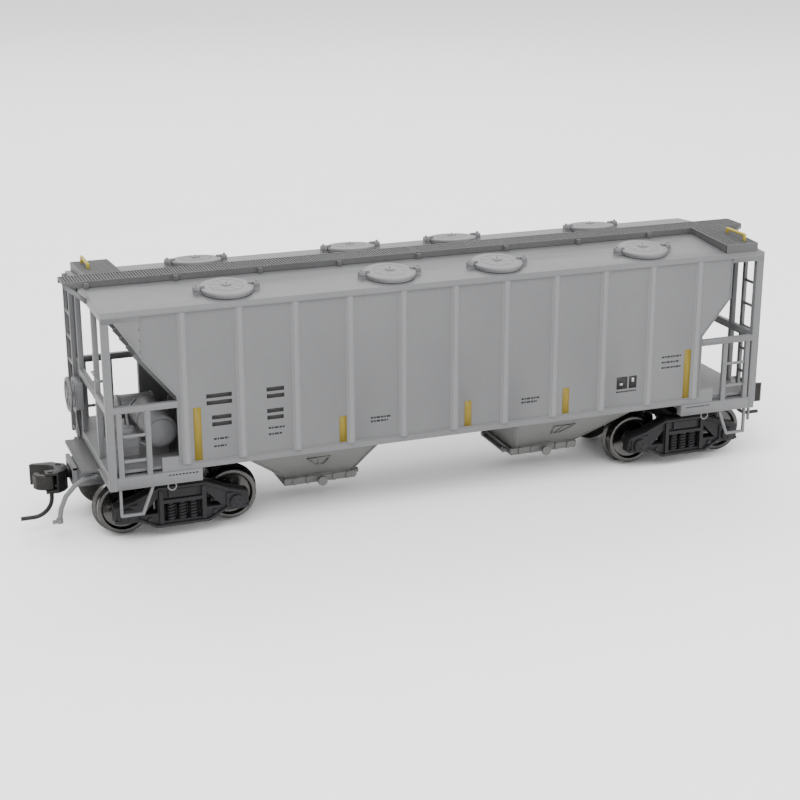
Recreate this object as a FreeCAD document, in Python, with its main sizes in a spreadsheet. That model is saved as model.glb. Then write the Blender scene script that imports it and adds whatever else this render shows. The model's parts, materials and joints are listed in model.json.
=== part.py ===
import FreeCAD, Part
import math
import os
import re

import Sketcher

os.makedirs("parts", exist_ok=True)
doc = FreeCAD.newDocument("hopper_car")
sheet = doc.addObject("Spreadsheet::Sheet", "dims")

# Model covered hopper wagon, 1:87.1, millimetres.
# X runs along the wagon (+X is the plain end, -X the brake end), Y across, Z up.
# The origin is under the middle of the wagon at the lowest point of the wheel flanges.
# Heights in the table are measured above the rail top; rail_top is added where they are used.
SIZES = {
    "rail_top": 0.65,
    # body side profile
    "wall_x": 59.4, "slope_top": 35.0, "slope_foot": 42.9, "sheet_edge": 53.4, "sheet_corner": 27.6,
    "sheet_bottom": 14.7, "inner_x": 58.4, "inner_kink": 35.25, "inner_foot": 41.7, "inner_mouth": 14.7,
    "inner_half": 16.1, "body_half": 17.0, "prism_half": 16.2,
    "rib_face": 17.35, "rib_width": 1.0, "rib_pitch": 10.4,
    # roof
    "eave_half": 17.4, "eave_low": 43.0, "eave": 43.25, "shoulder_y": 16.6, "shoulder": 43.93,
    "ridge": 45.35, "roof_under": 42.5,
    "roof_end": 66.3, "beam_low": 42.1, "beam_in": 16.1, "beam_out": 17.3,
    # hatches
    "hatch_x1": 10.9, "hatch_x2": 42.2, "hatch_y": 11.2, "hatch_seat": 44.95, "pad_top": 44.85,
    "coaming_r": 4.5, "coaming_h": 1.3,
    "cover_r": 4.9, "cover_rim": 0.4, "cover_step_r": 3.9, "cover_step": 0.6, "boss_r": 0.9,
    "cover_crown": 0.75, "boss_top": 1.0, "lug_in": 4.95, "lug_out": 6.1, "lug_half": 0.6, "lug_top": 45.75,
    # running board
    "walk_end": 70.0, "walk_joint": -1.9, "walk_gap": 0.1, "walk_half": 2.7, "walk_top": 46.35,
    "walk_under": 45.95, "stringer_low": 45.5, "stringer_in": 2.2,
    "saddle_half": 3.3, "saddle_in": 2.75, "saddle_top": 46.15, "saddle_w": 0.9,
    "plat_x1": 58.2, "plat_x2": 65.3, "plat_edge": 16.5, "plat_edge_top": 45.6, "plat_thick": 0.4,
    "plat_skirt": 0.6, "plat_root": 2.6,
    "iron_x": 63.4, "iron_y1": 8.0, "iron_y2": 14.4, "iron_z": 46.9, "iron_low1": 45.85, "iron_low2": 45.5,
    "wire_r": 0.3,
    # end framework
    "post_x1": 64.9, "post_x2": 66.3, "post_bottom": 11.2, "inner_post_x": 65.3, "inner_post_y1": 7.5,
    "inner_post_y2": 8.5, "cross_low": 25.6, "cross_top": 27.1, "bar_low": 25.6, "bar_top": 26.8,
    "bar_in": 16.3,
    "ladder_x2": 67.1, "ladder_y1": 10.0, "ladder_y2": 10.7, "ladder_y3": 15.6, "ladder_y4": 16.4,
    "ladder_low": 12.2, "ladder_top": 43.6, "rung_first": 17.4, "rung_pitch": 4.8, "rung_r": 0.3,
    # side handholds and steps
    "stile_x1": 58.4, "stile_x2": 59.4, "stile_x3": 63.5, "stile_x4": 64.5, "stile_in": 16.5,
    "hand_z1": 16.5, "hand_z2": 21.2,
    "step_in": 16.5, "step_out": 17.1, "step_t": 0.45, "step_x1": 58.2, "step_x2": 60.3, "step_x3": 64.6,
    "step_low": 6.0,
    # underframe
    "sill_half": 2.0, "sill_low": 11.4, "deck_low": 14.0, "deck_top": 14.6, "deck_x": 43.6,
    "strip_low": 13.6, "ext_x": 49.4, "ext_in": 15.6, "ext_low": 11.3, "gusset_x": 56.6, "gusset_top": 16.3,
    "gusset_in": 16.3,
    "truck_x": 52.5, "bolster_half": 1.6, "bolster_low": 11.4, "pivot_r": 2.4, "pivot_low": 10.0,
    "box_x1": 58.5, "box_x2": 70.6, "box_half": 3.6, "box_low": 8.4, "box_roof": 10.9, "box_in": 2.9,
    "box_back": 60.2, "peg_x": 63.5, "peg_r": 1.0, "lid_low": 7.8, "lid_screw_x": 59.3,
    "screw_r": 0.7, "head_r": 1.5, "head_t": 0.7, "screw_deep": 3.0,
    "truck_screw_r": 0.9, "truck_head_r": 1.9, "truck_screw_top": 13.4,
    # floor and weight
    "floor_x": 41.5, "floor_top": 15.6, "weight_x": 34.0, "weight_half": 12.0, "weight_top": 19.8,
    # hopper bays
    "bay_top": 14.6, "bay_bottom": 5.0, "bay_x1": 13.4, "bay_x2": 42.3, "bay_half": 16.0,
    "neck_x1": 17.2, "neck_x2": 30.4, "neck_half": 6.5, "bay_wall": 1.0,
    "gate_x1": 16.6, "gate_x2": 31.0, "gate_half": 7.1, "gate_low": 3.8, "shaft_r": 0.55,
    "shaft_y": 8.6, "shaft_z": 4.4,
    # trucks
    "wheel_dx": 10.2, "axle_z": 4.85, "axle_r": 0.8, "axle_end": 11.1, "point_r": 0.12, "point_end": 12.6,
    "wheel_back": 7.2, "wheel_face": 10.0, "flange_r": 5.5, "flange_top_r": 5.2, "flange_y": 7.5,
    "fillet_y": 8.05, "tread_r1": 4.87, "tread_r2": 4.83, "rim_r": 4.05, "plate_y": 9.2,
    "plate_r": 3.8, "hub_r": 1.5, "hub_y": 9.85, "hub_root": 1.7,
    "cone_r1": 1.15, "cone_y1": 11.0, "cone_r2": 0.3, "cone_y2": 12.8,
    "side_in": 11.0, "side_out": 13.4, "t_low": 7.35, "t_top": 9.85, "t_half": 1.5, "t_end": 11.0,
    "t_hole": 0.98, "boss_rt": 2.2,
    "f_x1": 12.6, "f_x2": 9.0, "f_x3": 4.4, "f_x4": 8.2, "f_x5": 5.0, "f_z1": 3.4, "f_z2": 6.6,
    "f_z3": 7.6, "f_z4": 9.6, "f_z5": 3.4, "f_z6": 1.6,
    "w_x1": 4.6, "w_x2": 7.4, "w_z1": 4.4, "w_z2": 7.4, "s_x": 3.6, "s_z1": 2.7, "s_z2": 6.4,
    "s_depth": 1.1, "cap_r": 1.15, "cap_out": 14.3, "spring_r": 0.75, "spring_dx": 2.1,
    # couplers (head outline: u outwards from its root, v across)
    "shank_half": 1.3, "shank_low": 9.0, "shank_top": 10.7, "eye_r": 2.2, "eye_hole": 1.08,
    "head_x": 71.2, "head_low": 7.0, "head_top": 11.0, "jaw_low": 7.6, "jaw_top": 10.5,
    "h_u1": 1.2, "h_u2": 2.2, "h_u3": 5.8, "h_u4": 6.4, "h_u5": 3.2, "h_u6": 2.3, "h_u7": 2.6,
    "h_u8": 4.2, "h_u9": 4.3, "h_u10": 2.0, "h_u11": 0.8,
    "h_v1": 2.1, "h_v2": 3.0, "h_v3": 3.4, "h_v4": 2.8, "h_v5": 1.5, "h_v6": 0.5, "h_v7": 1.3,
    "h_v8": 3.2, "h_v9": 3.4, "h_v10": 2.6,
    "jaw_u": 2.3, "jaw_v": 0.45, "jaw_far": 7.5,
    "pin_u": 3.3, "pin_v": 2.4, "k_gap": 0.05,
    "k_u1": 2.45, "k_u2": 3.0, "k_u3": 4.4, "k_u4": 5.9, "k_u5": 6.4, "k_u6": 6.0, "k_u7": 5.2,
    "k_u8": 4.9, "k_u9": 4.3, "k_v1": 0.4, "k_v2": 2.4, "k_v3": 3.15, "k_v4": 2.3, "k_v5": 1.2,
    "k_v6": 0.0, "k_v7": 0.1, "k_v8": 0.6, "k_v9": 1.3, "k_v10": 1.6,
    "trip_r": 0.4, "trip_hole": 0.48, "trip_bend": 3.6, "trip_low": 2.5, "trip_end": 80.4,
    # end fittings
    "step_board_x": 69.7, "step_board_half": 9.0, "step_board_low": 12.2, "step_board_top": 12.8,
    "rod_x": 67.0, "rod_z": 10.7, "rod_y1": 3.8, "rod_y2": 14.4, "rod_low": 7.6, "rod_eye_y": 12.6,
    "rod_eye_half": 0.5, "rod_eye_top": 11.8, "rod_eye_low": 10.5,
    "hose_y": 6.8, "hose_r": 0.45, "hose_x1": 68.8, "hose_x2": 70.8, "hose_x3": 72.6, "hose_x4": 73.6,
    "hose_x5": 74.0, "hose_z0": 10.9, "hose_z1": 10.6,
    "hose_z2": 9.4, "hose_z3": 7.5, "hose_z4": 5.2, "hose_z5": 3.0,
    # brake gear on the brake end
    "house_y1": 4.6, "house_y2": 9.4, "house_z1": 19.8, "house_z2": 25.2, "house_x": 67.7,
    "bw_y": 7.0, "bw_z": 22.5, "bw_r": 3.1, "bw_rim": 0.3, "bw_x": 68.7, "bw_hub": 0.6, "bw_spoke": 0.2,
    "res_x": 55.5, "res_z": 19.6, "res_r": 2.9, "res_y1": -12.0, "res_y2": 1.5, "res_foot": 1.7,
    "res_foot_w": 1.0, "res_dome": 0.5,
    "cyl_x1": 52.6, "cyl_x2": 59.0, "cyl_y": 8.4, "cyl_z": 18.4, "cyl_r": 2.3, "cyl_foot": 1.5,
    "valve_x1": 59.6, "valve_x2": 62.6, "valve_y1": -11.4, "valve_y2": -7.6, "valve_z": 19.4,
    "valve_cap_r": 1.2, "valve_cap": 1.0,
    "pipe_x": 61.1, "pipe_r": 0.35, "pipe_z": 17.2, "pipe_y2": 10.5, "pipe_drop": 14.6,
}
SADDLES = {"saddle_1": -65.82, "saddle_2": -49.5, "saddle_3": -33.5, "saddle_4": -18.0, "saddle_5": -1.9,
           "saddle_6": 16.5, "saddle_7": 32.3, "saddle_8": 48.2, "saddle_9": 65.82}
SIZES.update(SADDLES)

for row, (alias, value) in enumerate(SIZES.items(), start=1):
    sheet.set(f"A{row}", alias)
    sheet.set(f"B{row}", str(value))
    sheet.setAlias(f"B{row}", alias)
doc.recompute()


def E(text):
    """Turn table names in an expression into spreadsheet references."""
    return re.sub(r"[a-z][a-z_0-9]*", lambda m: "dims." + m.group(0) if m.group(0) in SIZES else m.group(0),
                  str(text))


def flip(span, sign):
    """The two ends of a span, mirrored when sign is negative."""
    if sign > 0:
        return span
    return (f"-({span[1]})", f"-({span[0]})")


def put(obj, x, y, z):
    """Bind an object's position; z is a height above the rail top."""
    obj.setExpression("Placement.Base.x", E(x))
    obj.setExpression("Placement.Base.y", E(y))
    obj.setExpression("Placement.Base.z", E(f"rail_top + ({z})"))
    return obj


def box(x, y, z, sx=1, sy=1):
    """Block between two stations on each axis."""
    x = flip(x, sx)
    y = flip(y, sy)
    item = doc.addObject("Part::Box", "block")
    item.setExpression("Length", E(f"({x[1]}) - ({x[0]})"))
    item.setExpression("Width", E(f"({y[1]}) - ({y[0]})"))
    item.setExpression("Height", E(f"({z[1]}) - ({z[0]})"))
    return put(item, x[0], y[0], z[0])


TURN = {
    "x": FreeCAD.Rotation(FreeCAD.Vector(0, 1, 0), 90),
    "y": FreeCAD.Rotation(FreeCAD.Vector(1, 0, 0), -90),
    "z": FreeCAD.Rotation(),
}


def rod(axis, span, a, b, radius, sx=1, sy=1, tip=None):
    """Round bar (or cone, when tip is given) along one axis; a and b are the other two coordinates."""
    item = doc.addObject("Part::Cone" if tip else "Part::Cylinder", "bar")
    if axis == "x":
        near, far = flip(span, sx)
        spot = [near, a if sy > 0 else f"-({a})", b]
        flipped = sx < 0
    elif axis == "y":
        near, far = flip(span, sy)
        spot = [a if sx > 0 else f"-({a})", near, b]
        flipped = sy < 0
    else:
        near, far = span
        spot = [a if sx > 0 else f"-({a})", b if sy > 0 else f"-({b})", near]
        flipped = False
    item.Placement = FreeCAD.Placement(FreeCAD.Vector(), TURN[axis])
    item.setExpression("Height", E(f"({far}) - ({near})"))
    if tip:
        first, last = (tip, radius) if flipped else (radius, tip)
        item.setExpression("Radius1", E(first))
        item.setExpression("Radius2", E(last))
    else:
        item.setExpression("Radius", E(radius))
    return put(item, *spot)


def ball(x, y, z, radius, sx=1, sy=1):
    """Elbow of a bent wire."""
    item = doc.addObject("Part::Sphere", "elbow")
    item.setExpression("Radius", E(radius))
    return put(item, x if sx > 0 else f"-({x})", y if sy > 0 else f"-({y})", z)


def fuse(items):
    if len(items) == 1:
        return items[0]
    item = doc.addObject("Part::MultiFuse", "joined")
    item.Shapes = items
    item.Refine = False
    return item


def cut(base, tool):
    item = doc.addObject("Part::Cut", "trimmed")
    item.Base = base
    item.Tool = tool
    item.Refine = False
    return item


def group(items):
    item = doc.addObject("Part::Compound", "set")
    item.Links = items
    return item


def plane_of(body, role):
    for feature in body.Origin.OriginFeatures:
        if feature.Role == role:
            return feature
    raise RuntimeError("no plane " + role)


def outline(body, role, loops):
    """Closed sketch outlines whose corners are bound to the table."""
    sketch = body.newObject("Sketcher::SketchObject", "outline")
    sketch.AttachmentSupport = [(plane_of(body, role), "")]
    sketch.MapMode = "FlatFace"
    number = 0
    for loop in loops:
        first = number
        spots = [(float(sheet_value(u)), float(sheet_value(v))) for u, v in loop]
        for i, spot in enumerate(spots):
            after = spots[(i + 1) % len(spots)]
            sketch.addGeometry(Part.LineSegment(FreeCAD.Vector(*spot, 0), FreeCAD.Vector(*after, 0)), False)
            number += 1
        count = len(loop)
        for i in range(count):
            join = Sketcher.Constraint("Coincident", first + i, 2, first + (i + 1) % count, 1)
            sketch.addConstraint(join)
        for i, (u, v) in enumerate(loop):
            across = sketch.addConstraint(
                Sketcher.Constraint("DistanceX", -1, 1, first + i, 1, spots[i][0]))
            sketch.setExpression(f"Constraints[{across}]", E(u))
            up = sketch.addConstraint(
                Sketcher.Constraint("DistanceY", -1, 1, first + i, 1, spots[i][1]))
            sketch.setExpression(f"Constraints[{up}]", E(v))
    return sketch


def sheet_value(text):
    """Value of a table expression, for the starting position of sketch corners."""
    return plain_value(re.sub(r"[a-z][a-z_0-9]*", lambda m: repr(SIZES[m.group(0)]), str(text)))


def plain_value(text):
    return FreeCAD.Units.Quantity(text).Value


def pad(role, loops, length):
    """Outline pushed out to a length: XZ_Plane goes towards -Y, YZ_Plane to +X, XY_Plane to +Z."""
    body = doc.addObject("PartDesign::Body", "form")
    sketch = outline(body, role, loops)
    item = body.newObject("PartDesign::Pad", "push")
    item.Profile = sketch
    item.setExpression("Length", E(length))
    body.Tip = item
    return body


def spin(role, loop, axis):
    """Outline turned about one of its sketch axes."""
    body = doc.addObject("PartDesign::Body", "turned")
    sketch = outline(body, role, [loop])
    item = body.newObject("PartDesign::Revolution", "turn")
    item.Profile = sketch
    item.ReferenceAxis = (sketch, [axis])
    item.Angle = 360
    body.Tip = item
    return body


NODES = {}


def node(name, item):
    item.Label = name
    NODES[name] = item
    return item


ROOF_AT = "(ridge - (ridge - shoulder) * ({y}) / shoulder_y)"


def roof_at(y):
    return ROOF_AT.format(y=y)


ENDS = {"a": 1, "b": -1}
QUARTERS = [(sx, sy) for sx in (1, -1) for sy in (-1, 1)]

# ---------------------------------------------------------------- body shell
profile = [("-wall_x", "roof_under"), ("-wall_x", "slope_top"), ("-slope_foot", "sheet_bottom"),
           ("slope_foot", "sheet_bottom"), ("wall_x", "slope_top"), ("wall_x", "roof_under")]
core = put(pad("XZ_Plane", [profile], "2 * prism_half"), "0", "prism_half", "0")
hollow = [("-inner_x", "roof_under"), ("-inner_x", "inner_kink"), ("-inner_foot", "inner_mouth"),
          ("inner_foot", "inner_mouth"), ("inner_x", "inner_kink"), ("inner_x", "roof_under")]
void = put(pad("XZ_Plane", [hollow], "2 * inner_half"), "0", "inner_half", "0")
skins = []
sheet_form = [("-sheet_edge", "sheet_bottom"), ("-sheet_edge", "sheet_corner"), ("-wall_x", "slope_top"),
              ("-wall_x", "eave_low"), ("wall_x", "eave_low"), ("wall_x", "slope_top"),
              ("sheet_edge", "sheet_corner"), ("sheet_edge", "sheet_bottom")]
for side in ("body_half", "-inner_half"):
    skins.append(put(pad("XZ_Plane", [sheet_form], "body_half - inner_half"), "0", side, "0"))
for sy in (-1, 1):
    for i in range(-5, 6):
        station = (f"{i} * rib_pitch - rib_width / 2", f"{i} * rib_pitch + rib_width / 2")
        skins.append(box(station, ("body_half", "rib_face"), ("sheet_bottom", "eave_low"), 1, sy))
roof_form = [("-eave_half", "eave_low"), ("-eave_half", "eave"), ("-shoulder_y", "shoulder"), ("0", "ridge"),
             ("shoulder_y", "shoulder"), ("eave_half", "eave"), ("eave_half", "eave_low"),
             ("inner_half", "eave_low"), ("inner_half", "roof_under"),
             ("-inner_half", "roof_under"), ("-inner_half", "eave_low")]
roof = put(pad("YZ_Plane", [roof_form], "2 * roof_end"), "-roof_end", "0", "0")
roof_tilt = math.degrees(math.atan(sheet_value("(ridge - shoulder) / shoulder_y")))
coaming_form = [("0", "-coaming_h"), ("coaming_r", "-coaming_h"), ("coaming_r", "0"), ("0", "0")]


def on_roof(item, hx, sx, sy):
    """Set a hatch piece on its seat, tilted with the roof."""
    tilt = FreeCAD.Rotation(FreeCAD.Vector(1, 0, 0), -roof_tilt * sy)
    item.Placement = FreeCAD.Placement(FreeCAD.Vector(), tilt)
    return put(item, hx if sx > 0 else f"-{hx}", "hatch_y" if sy > 0 else "-hatch_y", "hatch_seat")


shell = [cut(core, void), roof] + skins
for sx, sy in QUARTERS:
    shell.append(box(("wall_x", "roof_end"), ("beam_in", "beam_out"), ("beam_low", "eave_low"), sx, sy))
    for hx in ("hatch_x1", "hatch_x2"):
        shell.append(on_roof(spin("XZ_Plane", coaming_form, "V_Axis"), hx, sx, sy))
        shell.append(box((f"{hx} - lug_out", f"{hx} + lug_out"),
                         ("hatch_y - lug_half", "hatch_y + lug_half"), ("roof_under", "pad_top"), sx, sy))
node("body_shell", fuse(shell))

# ---------------------------------------------------------------- hatches
cover_form = [("0", "0"), ("cover_r", "0"), ("cover_r", "cover_rim"), ("cover_step_r", "cover_step"),
              ("boss_r", "cover_crown"), ("boss_r", "boss_top"), ("0", "boss_top")]
lugs = []
number = 0
for sx, sy in QUARTERS:
    for hx in ("hatch_x1", "hatch_x2"):
        number += 1
        node(f"hatch_cover_{number}", on_roof(spin("XZ_Plane", cover_form, "V_Axis"), hx, sx, sy))
        for span in ((f"{hx} + lug_in", f"{hx} + lug_out"), (f"{hx} - lug_out", f"{hx} - lug_in")):
            lugs.append(box(span, ("hatch_y - lug_half", "hatch_y + lug_half"),
                            ("pad_top", "lug_top"), sx, sy))
node("hatch_clamps", group(lugs))

# ---------------------------------------------------------------- running board
plat_form = [("-plat_root", "walk_top"), ("-plat_edge", "plat_edge_top"),
             ("-plat_edge", roof_at("plat_edge")),
             ("-(plat_edge - plat_skirt)", roof_at("plat_edge - plat_skirt")),
             ("-(plat_edge - plat_skirt)", "plat_edge_top - plat_thick"), ("-plat_root", "walk_under")]


def platform(sx):
    form = plat_form
    if sx < 0:
        form = [(u[1:], v) for u, v in plat_form]
    start = "plat_x1" if sx > 0 else "-plat_x2"
    return put(pad("YZ_Plane", [form], "plat_x2 - plat_x1"), start, "0", "0")


for end, sx in ENDS.items():
    span = ("walk_joint + walk_gap", "walk_end") if sx > 0 else ("-walk_end", "walk_joint - walk_gap")
    board = [box(span, ("-walk_half", "walk_half"), ("walk_under", "walk_top")), platform(sx)]
    for sy in (-1, 1):
        board.append(box(span, ("stringer_in", "walk_half"), ("stringer_low", "walk_under"), 1, sy))
    node(f"roofwalk_{end}", fuse(board))
saddle_form = [("-saddle_half", roof_at("saddle_half")), ("-saddle_half", "saddle_top"),
               ("-saddle_in", "saddle_top"), ("-saddle_in", "stringer_low"), ("saddle_in", "stringer_low"),
               ("saddle_in", "saddle_top"), ("saddle_half", "saddle_top"),
               ("saddle_half", roof_at("saddle_half")), ("0", "ridge")]
saddles = [put(pad("YZ_Plane", [saddle_form], "saddle_w"), f"{spot} - saddle_w / 2", "0", "0")
           for spot in SADDLES]
node("roofwalk_saddles", group(saddles))
irons = []
for end, sx in ENDS.items():
    sy = -sx
    wire = [rod("y", ("iron_y1", "iron_y2"), "iron_x", "iron_z", "wire_r", sx, sy)]
    for y, low in (("iron_y1", "iron_low1"), ("iron_y2", "iron_low2")):
        wire.append(rod("z", (low, "iron_z"), "iron_x", y, "wire_r", sx, sy))
        wire.append(ball("iron_x", y, "iron_z", "wire_r", sx, sy))
    irons.append(cut(fuse(wire), platform(sx)))
node("roof_grab_irons", group(irons))

# ---------------------------------------------------------------- end framework and ladders
for end, sx in ENDS.items():
    bars = [box(("inner_post_x", "post_x2"), ("-beam_out", "beam_out"), ("cross_low", "cross_top"), sx)]
    for sy in (-1, 1):
        bars.append(box(("post_x1", "post_x2"), ("beam_in", "beam_out"), ("post_bottom", "beam_low"), sx, sy))
        bars.append(box(("inner_post_x", "post_x2"), ("inner_post_y1", "inner_post_y2"),
                        ("deck_top", "roof_under"), sx, sy))
        bars.append(box(("sheet_edge", "post_x1"), ("bar_in", "beam_out"), ("bar_low", "bar_top"), sx, sy))
    node(f"end_frame_{end}", fuse(bars))
    sy = -sx
    ladder = [box(("post_x2", "ladder_x2"), ("ladder_y1", "ladder_y2"), ("ladder_low", "ladder_top"), sx, sy),
              box(("post_x2", "ladder_x2"), ("ladder_y3", "ladder_y4"), ("ladder_low", "ladder_top"), sx, sy)]
    for i in range(6):
        ladder.append(rod("y", ("ladder_y1", "ladder_y4"), "(post_x2 + ladder_x2) / 2",
                          f"rung_first + {i} * rung_pitch", "rung_r", sx, sy))
    node(f"end_ladder_{end}", fuse(ladder))

# ---------------------------------------------------------------- side handholds and stirrup steps
holds = []
steps = []
for sx, sy in QUARTERS:
    hold = [box(("stile_x1", "stile_x2"), ("stile_in", "beam_out"), ("strip_low", "bar_low"), sx, sy),
            box(("stile_x3", "stile_x4"), ("stile_in", "beam_out"), ("strip_low", "bar_low"), sx, sy)]
    for z in ("hand_z1", "hand_z2"):
        hold.append(rod("x", ("stile_x1", "stile_x4"), "(stile_in + beam_out) / 2", z, "rung_r", sx, sy))
    holds.append(fuse(hold))
    strap = [("step_x1", "ext_low"), ("step_x2", "step_low"), ("step_x3", "step_low"), ("step_x3", "ext_low"),
             ("step_x3 - step_t", "ext_low"), ("step_x3 - step_t", "step_low + step_t"),
             ("step_x2 + step_t * 0.7", "step_low + step_t"), ("step_x1 + step_t * 1.2", "ext_low")]
    if sx < 0:
        strap = [(f"-({u})", v) for u, v in strap]
    steps.append(put(pad("XZ_Plane", [strap], "step_out - step_in"), "0",
                     "step_out" if sy > 0 else "-step_in", "0"))
node("side_handholds", group(holds))
node("stirrup_steps", group(steps))

# ---------------------------------------------------------------- underframe
frame = [box(("-box_x1", "box_x1"), ("-sill_half", "sill_half"), ("sill_low", "deck_top"))]
holes = []
for sx in (1, -1):
    frame.append(box(("deck_x", "post_x1"), ("-inner_half", "inner_half"), ("deck_low", "deck_top"), sx))
    frame.append(box(("post_x1", "post_x2"), ("-beam_in", "beam_in"), ("ext_low", "deck_top"), sx))
    frame.append(box(("truck_x - bolster_half", "truck_x + bolster_half"), ("-beam_in", "beam_in"),
                     ("bolster_low", "deck_low"), sx))
    frame.append(rod("z", ("pivot_low", "bolster_low"), "truck_x", "0", "pivot_r", sx))
    outer = box(("box_x1", "box_x2"), ("-box_half", "box_half"), ("box_low", "sill_low"), sx)
    inner = box(("box_back", "box_x2 + 1"), ("-box_in", "box_in"), ("box_low - 1", "box_roof"), sx)
    frame.append(cut(outer, inner))
    frame.append(box(("box_x1", "post_x1"), ("-box_half", "box_half"), ("sill_low", "deck_low"), sx))
    frame.append(rod("z", ("box_low", "box_roof"), "peg_x", "0", "peg_r", sx))
    holes.append(rod("z", ("pivot_low - 1", "truck_screw_top"), "truck_x", "0", "truck_screw_r", sx))
    holes.append(rod("z", ("box_low - 1", "box_low + screw_deep - 0.5"), "lid_screw_x", "0", "screw_r", sx))
    for sy in (-1, 1):
        frame.append(box(("ext_x", "post_x1"), ("ext_in", "beam_out"), ("ext_low", "strip_low"), sx, sy))
        frame.append(box(("sheet_edge", "gusset_x"), ("gusset_in", "body_half"),
                         ("strip_low", "gusset_top"), sx, sy))
for sy in (-1, 1):
    frame.append(box(("-sheet_edge", "sheet_edge"), ("inner_half", "body_half"),
                     ("strip_low", "sheet_bottom"), 1, sy))
node("underframe", cut(fuse(frame), fuse(holes)))
node("floor_panel", box(("-floor_x", "floor_x"), ("-inner_half", "inner_half"), ("deck_top", "floor_top")))
node("ballast_weight", box(("-weight_x", "weight_x"), ("-weight_half", "weight_half"),
                           ("floor_top", "weight_top")))

# ---------------------------------------------------------------- hopper bays and outlet gates
LAY = FreeCAD.Rotation(FreeCAD.Vector(1, 0, 0), -90)


def funnel(inset, sx, top, bottom):
    """Tapered bay: wide at the floor, narrow at the outlet; inset thins it for the hollow."""
    item = doc.addObject("Part::Wedge", "funnel")
    near = (f"bay_x1 + {inset}", f"bay_x2 - {inset}")
    low = (f"neck_x1 + {inset}", f"neck_x2 - {inset}")
    near = flip(near, sx)
    low = flip(low, sx)
    values = {
        "Xmin": near[0], "Xmax": near[1], "Zmin": f"-(bay_half - {inset})", "Zmax": f"bay_half - {inset}",
        "X2min": low[0], "X2max": low[1], "Z2min": f"-(neck_half - {inset})", "Z2max": f"neck_half - {inset}",
        "Ymin": "0", "Ymax": f"({top}) - ({bottom})",
    }
    for key, value in values.items():
        item.setExpression(key, E(value))
    item.Placement = FreeCAD.Placement(FreeCAD.Vector(), LAY)
    return put(item, "0", "0", top)


for end, sx in ENDS.items():
    bay = cut(funnel("0", sx, "bay_top", "bay_bottom"), funnel("bay_wall", sx, "bay_top", "bay_bottom"))
    channel = box(("bay_x1 - 1", "bay_x2 + 1"), ("-sill_half", "sill_half"), ("sill_low", "deck_top + 1"), sx)
    node(f"hopper_bay_{end}", cut(bay, channel))
    gate = [box(("gate_x1", "gate_x2"), ("-gate_half", "gate_half"), ("gate_low", "bay_bottom"), sx),
            rod("y", ("-shaft_y", "shaft_y"), "(gate_x1 + gate_x2) / 2", "shaft_z", "shaft_r", sx)]
    node(f"outlet_gate_{end}", fuse(gate))

# ---------------------------------------------------------------- trucks
side_form = [("-f_x1", "f_z1"), ("-f_x1", "f_z2"), ("-f_x2", "f_z3"), ("-f_x3", "f_z4"), ("f_x3", "f_z4"),
             ("f_x2", "f_z3"), ("f_x1", "f_z2"), ("f_x1", "f_z1"), ("f_x4", "f_z5"), ("f_x5", "f_z6"),
             ("-f_x5", "f_z6"), ("-f_x4", "f_z5")]
left_gap = [("-w_x1", "w_z1"), ("-w_x1", "w_z2"), ("-w_x2", "w_z1")]
right_gap = [("w_x1", "w_z1"), ("w_x2", "w_z1"), ("w_x1", "w_z2")]
wheel_form = [("wheel_back", "axle_r"), ("wheel_back", "flange_top_r"), ("flange_y", "flange_r"),
              ("fillet_y", "tread_r1"), ("wheel_face", "tread_r2"), ("wheel_face", "rim_r"),
              ("plate_y", "plate_r"), ("plate_y", "hub_root"), ("hub_y", "hub_r"), ("hub_y", "axle_r")]
axle_number = 0
for end, sx in ENDS.items():
    cx = "truck_x" if sx > 0 else "-truck_x"
    beam = fuse([box((f"{cx} - t_half", f"{cx} + t_half"), ("-t_end", "t_end"), ("t_low", "t_top")),
                 rod("z", ("t_low", "t_top"), cx, "0", "boss_rt")])
    node(f"truck_bolster_{end}", cut(beam, rod("z", ("t_low - 1", "t_top + 1"), cx, "0", "t_hole")))
    for side, sy in (("near", -1), ("far", 1)):
        face = pad("XZ_Plane", [side_form, left_gap, right_gap], "side_out - side_in")
        put(face, cx, "side_out" if sy > 0 else "-side_in", "0")
        nest = box((f"{cx} - s_x", f"{cx} + s_x"), ("side_out - s_depth", "side_out + 1"),
                   ("s_z1", "s_z2"), 1, sy)
        body = [cut(face, nest)]
        for step in (-1, 0, 1):
            body.append(rod("z", ("s_z1", "s_z2"), f"{cx} + {step} * spring_dx",
                            "side_out - s_depth + spring_r / 2", "spring_r", 1, sy))
        for step in (-1, 1):
            body.append(rod("y", ("side_out", "cap_out"), f"{cx} + {step} * wheel_dx", "axle_z",
                            "cap_r", 1, sy))
        pockets = [rod("y", ("cone_y1", "cone_y2"), f"{cx} + {step} * wheel_dx", "axle_z", "cone_r1", 1, sy,
                       tip="cone_r2") for step in (-1, 1)]
        node(f"sideframe_{end}_{side}", cut(fuse(body), fuse(pockets)))
    for step in (-1, 1):
        axle_number += 1
        ax = f"{cx} + {step} * wheel_dx"
        axle = [rod("y", ("-axle_end", "axle_end"), ax, "axle_z", "axle_r")]
        for sy in (-1, 1):
            axle.append(rod("y", ("axle_end", "point_end"), ax, "axle_z", "axle_r", 1, sy, tip="point_r"))
        node(f"axle_{axle_number}", fuse(axle))
        pair = []
        for turned in (0, 180):
            wheel = spin("YZ_Plane", wheel_form, "H_Axis")
            wheel.Placement = FreeCAD.Placement(FreeCAD.Vector(),
                                                FreeCAD.Rotation(FreeCAD.Vector(0, 0, 1), turned))
            pair.append(put(wheel, ax, "0", "axle_z"))
        node(f"wheels_{axle_number}", group(pair))

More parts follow.
